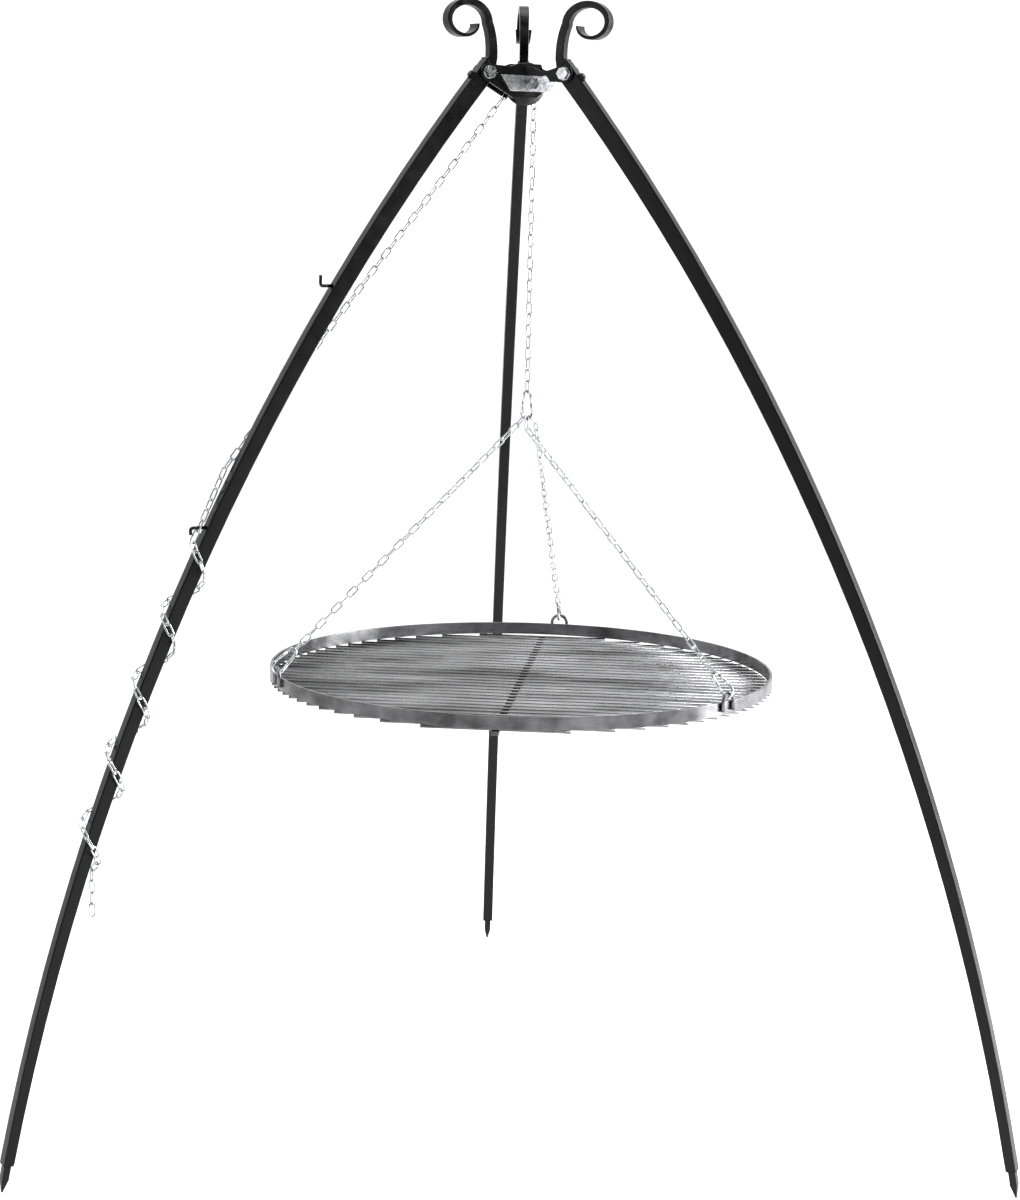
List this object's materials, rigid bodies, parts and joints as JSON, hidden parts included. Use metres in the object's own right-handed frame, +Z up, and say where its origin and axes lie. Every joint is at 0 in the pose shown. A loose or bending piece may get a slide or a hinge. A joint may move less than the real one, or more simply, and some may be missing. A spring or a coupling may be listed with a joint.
{
  "type": "campfire tripod grate",
  "caption": "Folding steel tripod with scroll-topped curved legs, a pulley head and a round cooking grate hung on an adjustable chain.",
  "frame": {"origin": "on the ground, on the centre line between the three feet", "axes": "+Z up along the centre line; back leg towards +Y, left leg at 210 degrees and right leg at 330 degrees about +Z"},
  "size_m": [1.5064, 1.3066, 1.7467],
  "materials": {
    "black_paint": "gloss",
    "zinc": "satin",
    "steel": "brushed"
  },
  "bodies": {
    "head": {"cheek_front": "black_paint", "cheek_back": "black_paint", "fork_right": "black_paint", "fork_back": "black_paint", "leg_stops": "black_paint", "pulley_plate_front": "zinc", "pulley_plate_back": "zinc", "pulley_axle": "zinc", "axle_nut": "zinc", "axle_washers": "zinc", "hinge_bolts": "zinc", "hinge_washers": "zinc", "hinge_nuts": "zinc", "pulley_links": "zinc"},
    "pulley": {"pulley": "black_paint"},
    "leg_left": {"left_tube": "black_paint", "left_end_plug": "black_paint", "left_scroll": "black_paint", "left_scroll_bolt": "black_paint", "left_spike": "black_paint", "utensil_hook": "black_paint", "chain_hook": "black_paint", "winding_chain": "zinc"},
    "leg_right": {"right_tube": "black_paint", "right_end_plug": "black_paint", "right_scroll": "black_paint", "right_scroll_bolt": "black_paint", "right_spike": "black_paint"},
    "leg_back": {"back_tube": "black_paint", "back_end_plug": "black_paint", "back_scroll": "black_paint", "back_scroll_bolt": "black_paint", "back_spike": "black_paint"},
    "hoist": {"hoist_chain": "zinc"},
    "first_link": {"top_link": "zinc"},
    "drop": {"drop_chain": "zinc"},
    "hanger": {"swivel_link": "zinc"},
    "grate": {"end_link": "zinc", "top_carabiner": "zinc", "left_carabiner": "zinc", "right_carabiner": "zinc", "back_carabiner": "zinc", "left_bridle": "zinc", "right_bridle": "zinc", "back_bridle": "zinc", "grate_rim": "steel", "grate_rods": "steel", "grate_bar": "steel", "grate_eyes": "steel"},
    "gate_top": {"top_gate": "zinc"},
    "gate_left": {"left_gate": "zinc"},
    "gate_right": {"right_gate": "zinc"},
    "gate_back": {"back_gate": "zinc"}
  },
  "joints": [
    {"name": "leg_left_fold", "type": "hinge", "parent": "head", "child": "leg_left", "pos_m": [-0.06409, -0.037, 1.638], "axis": [0.5, -0.866, 0], "range_deg": [0, 6]},
    {"name": "leg_right_fold", "type": "hinge", "parent": "head", "child": "leg_right", "pos_m": [0.06409, -0.037, 1.638], "axis": [0.5, 0.866, 0], "range_deg": [0, 6]},
    {"name": "leg_back_fold", "type": "hinge", "parent": "head", "child": "leg_back", "pos_m": [0, 0.074, 1.638], "axis": [-1, 0, 0], "range_deg": [0, 6]},
    {"name": "hoist_follow", "type": "hinge", "parent": "head", "child": "hoist", "pos_m": [-0.01501, -0.00867, 1.62544], "axis": [0.5, -0.866, 0], "range_deg": [0, 6]},
    {"name": "pulley_spin", "type": "hinge", "parent": "head", "child": "pulley", "pos_m": [0, 0, 1.623], "axis": [0.5, -0.866, 0], "range_deg": [0, 345]},
    {"name": "swing_across", "type": "hinge", "parent": "head", "child": "first_link", "pos_m": [0.01501, 0.00867, 1.62056], "axis": [0.5, -0.866, 0], "range_deg": [-3, 3]},
    {"name": "swing_along", "type": "hinge", "parent": "first_link", "child": "drop", "pos_m": [0.01501, 0.00867, 1.60306], "axis": [-0.866, -0.5, 0], "range_deg": [-3, 3]},
    {"name": "grate_lift", "type": "slide", "parent": "drop", "child": "hanger", "axis": [0, 0, 1], "range_m": [0, 0.1], "deforming": ["drop_chain"]},
    {"name": "grate_spin", "type": "hinge", "parent": "hanger", "child": "grate", "pos_m": [0.01501, 0.00867, 1.16556], "axis": [0, 0, 1], "range_deg": [-25, 25]},
    {"name": "gate_top_open", "type": "hinge", "parent": "grate", "child": "gate_top", "pos_m": [0.0073, 0.00422, 1.12072], "axis": [-0.5, 0.866, 0], "range_deg": [0, 20], "stiffness_Nm_per_rad": 0.03, "springref_deg": -11.46},
    {"name": "gate_left_open", "type": "hinge", "parent": "grate", "child": "gate_left", "pos_m": [-0.36769, -0.11581, 0.7386], "axis": [-0.309, 0.951, 0.0093], "range_deg": [0, 20], "stiffness_Nm_per_rad": 0.03, "springref_deg": -11.46},
    {"name": "gate_right_open", "type": "hinge", "parent": "grate", "child": "gate_right", "pos_m": [0.31378, -0.26035, 0.73857], "axis": [-0.6691, -0.7431, 0], "range_deg": [0, 20], "stiffness_Nm_per_rad": 0.03, "springref_deg": -11.46},
    {"name": "gate_back_open", "type": "hinge", "parent": "grate", "child": "gate_back", "pos_m": [0.09908, 0.40213, 0.73859], "axis": [0.9776, -0.2078, -0.0334], "range_deg": [0, 20], "stiffness_Nm_per_rad": 0.03, "springref_deg": -11.46}
  ],
  "couplings": [
    {"joint": "pulley_spin", "follows": "grate_lift", "rad_per_m": 59.84},
    {"joint": "hoist_follow", "follows": "leg_left_fold", "ratio": 0.97}
  ]
}
